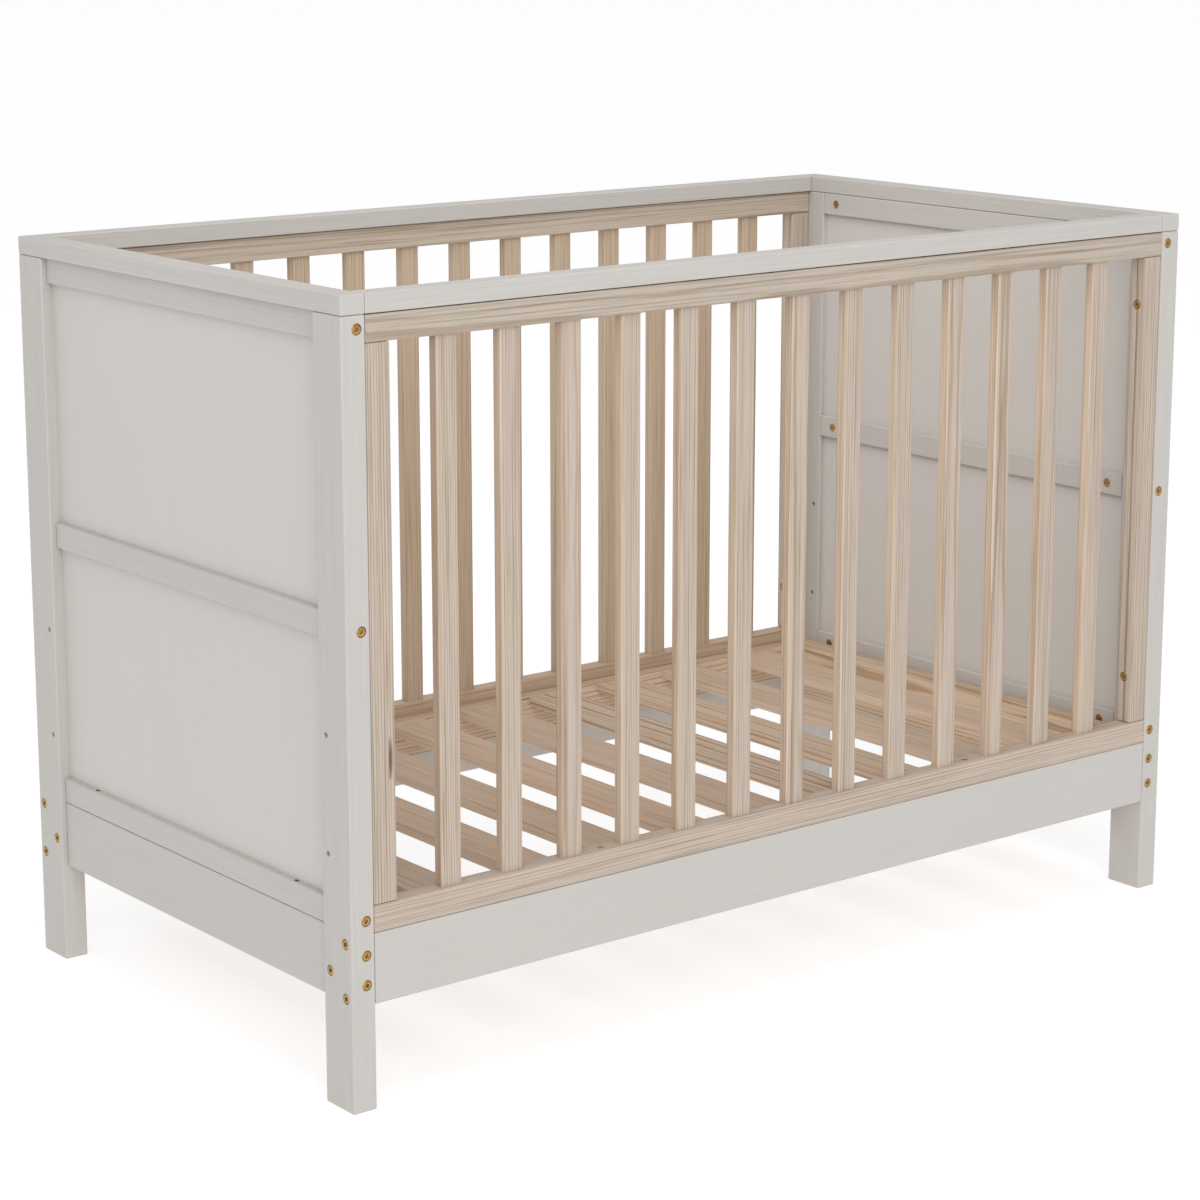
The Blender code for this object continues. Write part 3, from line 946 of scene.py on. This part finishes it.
class CRIB_OT_base(bpy.types.Operator):
    """Makes the slatted base: two side rails, two end rails and nine slats"""

    bl_idname = "crib.base"
    bl_label = "Slatted Base"

    def execute(self, context):
        sizes = context.scene.crib_sizes
        draws = np.random.default_rng(18)
        low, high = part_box("base_slat_deck")
        for word, facing in SIDES.items():
            first, second = Vector(low), Vector(high)
            if facing < 0:
                second.y = low.y + BASE_RAIL_T
            else:
                first.y = high.y - BASE_RAIL_T
            centre = (first + second) / 2
            heart = centre + Vector((0.7 * facing, 0.026, 0.034))
            material = pine(
                f"pine_base_{word}", LENGTH_AXIS, heart, 0.0042, pink=0.05, tone=BASE_SHADE_TONE)
            mesh = rounded_board(
                f"base_{word}_board", first, second, sizes.base_round, sizes.round_steps)
            piece = finish_piece(f"base_{word}_rail_pine", mesh, BASE_BODY, material)
            if facing < 0:
                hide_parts("base_slat_deck")
        top = high.z - BASE_SLAT_DROP
        centres = [BASE_SLAT_PITCH * step for step in range(-3, 4)]
        centres = [-BASE_SLAT_REACH] + centres + [BASE_SLAT_REACH]
        ends = (low.y + BASE_RAIL_T - BASE_SLAT_LAP, high.y - BASE_RAIL_T + BASE_SLAT_LAP)
        for number, x in enumerate(centres):
            first = Vector((x - BASE_SLAT_W / 2, ends[0], top - BASE_SLAT_T))
            second = Vector((x + BASE_SLAT_W / 2, ends[1], top))
            centre = (first + second) / 2
            flat = draws.uniform() < 0.3
            if flat:
                away = Vector((draws.uniform(-0.02, 0.02), 0, -0.025))
            else:
                away = Vector((0.08, 0, 0.01))
            heart = centre + away + Vector((0, draws.uniform(-2, 2), 0))
            material = pine(
                f"pine_base_slat_{number + 1}", WIDTH_AXIS, heart, 0.0048 if flat else 0.0034, 0.004,
                draws.uniform(0.05, 0.75), draws.uniform(0.8, 1.1), tone=BASE_SLAT_SHADE_TONE)
            mesh = rounded_board(
                f"base_slat_{number + 1}_board", first, second, sizes.base_round, sizes.round_steps)
            finish_piece(f"base_slat_{number + 1}_pine", mesh, BASE_BODY, material)
        for word, facing in ENDS.items():
            node = f"base_{word}_end_rail"
            low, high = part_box(node)
            heart = (low + high) / 2 + Vector((0.024 * facing, 0.4, 0.02))
            material = pine(f"pine_{node}", WIDTH_AXIS, heart, 0.0044, pink=0.05, tone=BASE_SHADE_TONE)
            piece = finish_piece(f"{node}_pine", softened_copy(node), BASE_BODY, material)
            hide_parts(node)
        return {"FINISHED"}


class CRIB_OT_bolts(bpy.types.Operator):
    """Puts in the brass socket bolts of the posts, stiles and base"""

    bl_idname = "crib.bolts"
    bl_label = "Bolts"

    def execute(self, context):
        sizes = context.scene.crib_sizes
        draws = np.random.default_rng(19)
        metal = brass("brass_bolts")
        long_bolt, short_bolt, stile_bolt, base_bolt = (
            bolt_profile(sizes, length) for length in (LONG_BOLT, SHORT_BOLT, STILE_BOLT, BASE_BOLT))
        base_height = node_edge("base_slat_deck", HEIGHT_AXIS, 1) - BASE_BOLT_DROP
        for end, outward in ENDS.items():
            x = node_edge(f"{end}_end_cap", LENGTH_AXIS, outward)
            for side, facing in SIDES.items():
                corner = f"{end}_{side}"
                y = node_edge(f"{side}_side_cap", WIDTH_AXIS, facing)
                side_y = y - facing * SIDE_BOLT_INSET
                base_y = node_edge(f"{corner}_post", WIDTH_AXIS, -facing) + facing * BASE_BOLT_INSET
                inner = node_edge(f"{side}_{end}_stile", LENGTH_AXIS, -outward)
                into_end = [(x - outward * BOLT_INSET, y, z) for z in end_bolt_heights(end)]
                into_side = [(x, side_y, z) for z in side_apron_heights(side)]
                into_stile = [(inner, side_y, z) for z in stile_heights(side)]
                into_base = [(x, base_y, base_height)]
                for kind, bolt, mouths, axis, way, body in (
                    ("end_bolts", long_bolt, into_end, WIDTH_AXIS, facing, FRAME_BODY),
                    ("side_bolts", short_bolt, into_side, LENGTH_AXIS, outward, FRAME_BODY),
                    ("stile_bolts", stile_bolt, into_stile, LENGTH_AXIS, -outward, FRAME_BODY),
                    ("base_bolt", base_bolt, into_base, LENGTH_AXIS, outward, BASE_BODY),
                ):
                    turns = draws.uniform(0, math.pi / 3, len(mouths))
                    mesh = turned_copies(f"{corner}_{kind}", *bolt, mouths, axis, way, turns)
                    finish_piece(f"{corner}_{kind}", mesh, body, metal)
        return {"FINISHED"}


class CRIB_OT_barrel_nuts(bpy.types.Operator):
    """Puts in the slotted barrel nuts of the end rails and aprons"""

    bl_idname = "crib.barrel_nuts"
    bl_label = "Barrel Nuts"

    def execute(self, context):
        sizes = context.scene.crib_sizes
        draws = np.random.default_rng(20)
        metal = brass("brass_barrel_nuts")
        for end, outward in ENDS.items():
            x = node_edge(f"{end}_top_rail", LENGTH_AXIS, -outward)
            for side, facing in SIDES.items():
                corner = f"{end}_{side}"
                end_y = node_edge(f"{corner}_post", WIDTH_AXIS, -facing) - facing * NUT_SETBACK
                side_x = node_edge(f"{corner}_post", LENGTH_AXIS, -outward) - outward * NUT_SETBACK
                y = node_edge(f"{side}_side_apron", WIDTH_AXIS, -facing)
                in_end = [(x, end_y, z) for z in end_bolt_heights(end)]
                in_side = [(side_x, y, z) for z in side_apron_heights(side)]
                for kind, mouths, axis, way in (
                    ("end_nuts", in_end, LENGTH_AXIS, -outward),
                    ("side_nuts", in_side, WIDTH_AXIS, -facing),
                ):
                    turns = draws.uniform(-0.25, 0.25, len(mouths))
                    mesh = barrel_nuts(f"{corner}_{kind}", sizes, mouths, axis, way, turns)
                    finish_piece(f"{corner}_{kind}", mesh, FRAME_BODY, metal)
        return {"FINISHED"}


class CRIB_OT_screws(bpy.types.Operator):
    """Drives the screws into the bottom rails and puts screw holes, shallow cups of painted shadow,
    into the lower end rails
    """

    bl_idname = "crib.screws"
    bl_label = "Screws"

    def execute(self, context):
        sizes = context.scene.crib_sizes
        metal = brass("brass_screws")
        head = screw_profile(sizes.screw_head)
        for side, facing in SIDES.items():
            top = node_edge(f"{side}_bottom_rail", HEIGHT_AXIS, 1)
            y = node_edge(f"{side}_bottom_rail", WIDTH_AXIS, facing) - facing * SIDE_BOLT_INSET
            mouths = [(x, y, top) for x in (-SCREW_X, SCREW_X)]
            mesh = turned_copies(f"{side}_screws", *head, mouths, HEIGHT_AXIS, 1, (0.3, 0.9))
            finish_piece(f"{side}_screws", mesh, FRAME_BODY, metal)
        # painted shadow: dark cups stand in for the shade inside the screw holes
        hole_shadow = hole_shadow_finish("shadow_screw_holes")
        hole = screw_hole_profile(sizes.screw_head)
        for end, outward in ENDS.items():
            top = node_edge(f"{end}_lower_rail", HEIGHT_AXIS, 1)
            x = node_edge(f"{end}_lower_panel", LENGTH_AXIS, outward)
            mouths = [(x, y, top) for y in (-SCREW_HOLE_Y, SCREW_HOLE_Y)]
            mesh = turned_copies(f"{end}_screw_holes", *hole, mouths, HEIGHT_AXIS, 1, (0.0, 0.0))
            finish_piece(f"{end}_screw_holes", mesh, FRAME_BODY, hole_shadow)
        return {"FINISHED"}


class CRIB_OT_studio(bpy.types.Operator):
    """Sets the floor, the soft lights and the camera"""

    bl_idname = "crib.studio"
    bl_label = "Studio"

    def execute(self, context):
        studio = context.scene.crib_studio
        self.floor(context)
        world = bpy.data.worlds.new("studio_sky")
        context.scene.world = world
        world.use_nodes = True
        sky = world.node_tree.nodes["Background"]
        sky.inputs["Color"].default_value = (1.0, 1.0, 1.0, 1.0)
        sky.inputs["Strength"].default_value = studio.sky
        self.soft_light("key_light", KEY_PLACE, KEY_SIZE, studio.key_power)
        self.soft_light("fill_light", FILL_PLACE, FILL_SIZE, studio.fill_power)
        self.beam("inner_light", studio.inner_power)
        self.camera(context)
        context.scene.view_settings.view_transform = "Standard"
        return {"FINISHED"}

    def floor(self, context):
        """A round flat floor: rings of points, each at its radius."""
        finish = Finish("pale_floor")
        speck = finish.noise(finish.place(), (30.0, 30.0, 30.0), 3.0)
        colour = context.scene.crib_colours.floor
        dim = tuple(c * 0.97 for c in colour)
        finish.surface(Base_Color=finish.mix(speck, colour, dim), Roughness=0.75 + speck * 0.1)
        glow = context.scene.crib_studio.floor_glow
        finish.surface(Specular_IOR_Level=0.1)
        finish.surface(Emission_Color=(1.0, 1.0, 1.0, 1.0), Emission_Strength=glow)
        rings, sides = len(FLOOR_RADII), FLOOR_SIDES
        angle = np.linspace(0, 2 * np.pi, sides, endpoint=False)
        radius = np.array(FLOOR_RADII)[:, None]
        points = np.stack(
            [radius * np.cos(angle), radius * np.sin(angle), np.zeros((rings, sides))], -1)
        quads = rows_and_columns(rows=rings, columns=sides).tolist()
        middle = [(rings - 1) * sides + c for c in range(sides)]
        mesh = bpy.data.meshes.new("studio_floor")
        mesh.from_pydata(points.reshape(-1, 3), [], quads + [middle])
        mesh.materials.append(finish.material)
        floor = bpy.data.objects.new("studio_floor", mesh)
        context.scene.collection.objects.link(floor)

    def soft_light(self, name, place, size, power):
        """A square soft light aimed at the middle of the crib."""
        light = bpy.data.lights.new(name, "AREA")
        light.shape = "SQUARE"
        light.size = size
        self.hang(light, place, LIGHT_TARGET, power)

    def beam(self, name, power):
        """A narrow soft-edged light that reaches the right end's inner face over the left end."""
        light = bpy.data.lights.new(name, "SPOT")
        light.spot_size = BEAM_ANGLE
        light.spot_blend = 1.0
        light.shadow_soft_size = BEAM_RADIUS
        self.hang(light, BEAM_PLACE, BEAM_TARGET, power)

    def hang(self, light, place, target, power):
        """Puts a light in the scene, aimed at its target."""
        light.energy = power
        lamp = bpy.data.objects.new(light.name, light)
        lamp.location = place
        aim = Vector(target) - Vector(place)
        lamp.rotation_euler = aim.to_track_quat("-Z", "Y").to_euler()
        bpy.context.scene.collection.objects.link(lamp)

    def camera(self, context):
        """A camera that sees the front side and the left end from a little above."""
        lens = bpy.data.cameras.new("camera")
        lens.lens = context.scene.crib_studio.focal_length
        lens.sensor_width = 36.0
        lens.shift_y = CAMERA_SHIFT
        camera = bpy.data.objects.new("camera", lens)
        camera.location = CAMERA_PLACE
        camera.rotation_euler = (math.pi / 2 - CAMERA_TILT, 0.0, -CAMERA_TURN)
        context.scene.collection.objects.link(camera)
        context.scene.camera = camera


class CRIB_PT_panel(bpy.types.Panel):
    """Sizes, colours and pieces of the crib"""

    bl_label = "Baby Crib"
    bl_idname = "CRIB_PT_panel"
    bl_space_type = "VIEW_3D"
    bl_region_type = "UI"
    bl_category = "Crib"

    def draw(self, context):
        for group in (context.scene.crib_sizes, context.scene.crib_colours, context.scene.crib_studio):
            box = self.layout.box()
            for name in group.__annotations__:
                box.prop(group, name)
        for operator in OPERATORS:
            self.layout.operator(operator.bl_idname)


OPERATORS = (
    CRIB_OT_posts,
    CRIB_OT_end_rails,
    CRIB_OT_panels,
    CRIB_OT_caps,
    CRIB_OT_side_rails,
    CRIB_OT_stiles,
    CRIB_OT_slats,
    CRIB_OT_base,
    CRIB_OT_bolts,
    CRIB_OT_barrel_nuts,
    CRIB_OT_screws,
    CRIB_OT_studio,
)
GROUPS = {"crib_sizes": CribSizes, "crib_colours": CribColours, "crib_studio": CribStudio}


def register():
    """Registers the classes and hangs the property groups on the scene."""
    for kind in (*GROUPS.values(), *OPERATORS, CRIB_PT_panel):
        bpy.utils.register_class(kind)
    for name, kind in GROUPS.items():
        setattr(bpy.types.Scene, name, PointerProperty(type=kind))


def unregister():
    """Takes the property groups and the classes away again."""
    for name in GROUPS:
        delattr(bpy.types.Scene, name)
    for kind in reversed((*GROUPS.values(), *OPERATORS, CRIB_PT_panel)):
        bpy.utils.unregister_class(kind)


def main():
    """Builds every piece and the studio."""
    register()
    for operator in OPERATORS:
        group, name = operator.bl_idname.split(".")
        getattr(getattr(bpy.ops, group), name)()


if __name__ == "__main__":
    main()
